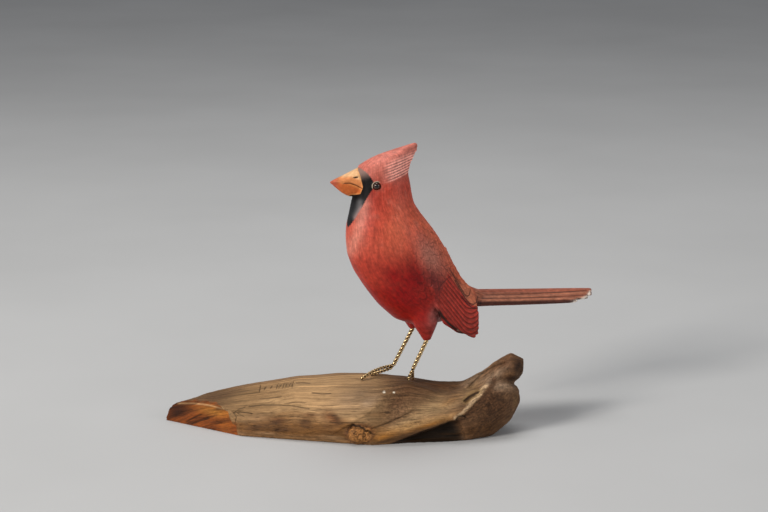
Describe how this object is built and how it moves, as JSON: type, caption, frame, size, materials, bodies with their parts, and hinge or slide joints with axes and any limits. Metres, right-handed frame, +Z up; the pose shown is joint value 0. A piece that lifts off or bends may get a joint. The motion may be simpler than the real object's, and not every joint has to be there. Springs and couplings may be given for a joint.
{
  "type": "carved songbird on driftwood",
  "caption": "Painted wood carving of a crested red songbird with glass eyes, standing on twisted brass wire legs on a length of driftwood.",
  "frame": {"origin": "middle of the box seen from above, on the flat underside of the driftwood", "axes": "+X along the driftwood from its sawn end to its horn, towards the tail; -Y towards the viewer; +Z up"},
  "size_m": [0.3168, 0.1114, 0.2088],
  "materials": {
    "painted_wood": "oil paint over carved wood, satin",
    "glass_eye": "dark glossy glass",
    "brass_wire": "twisted wire, dulled brass",
    "driftwood": "weathered driftwood under a thin satin finish, raw orange-brown on the sawn end"
  },
  "bodies": {
    "root": {"bird": "painted_wood", "eye_left": "glass_eye", "eye_right": "glass_eye", "leg_left": "brass_wire", "leg_right": "brass_wire", "driftwood_base": "driftwood"}
  },
  "joints": []
}
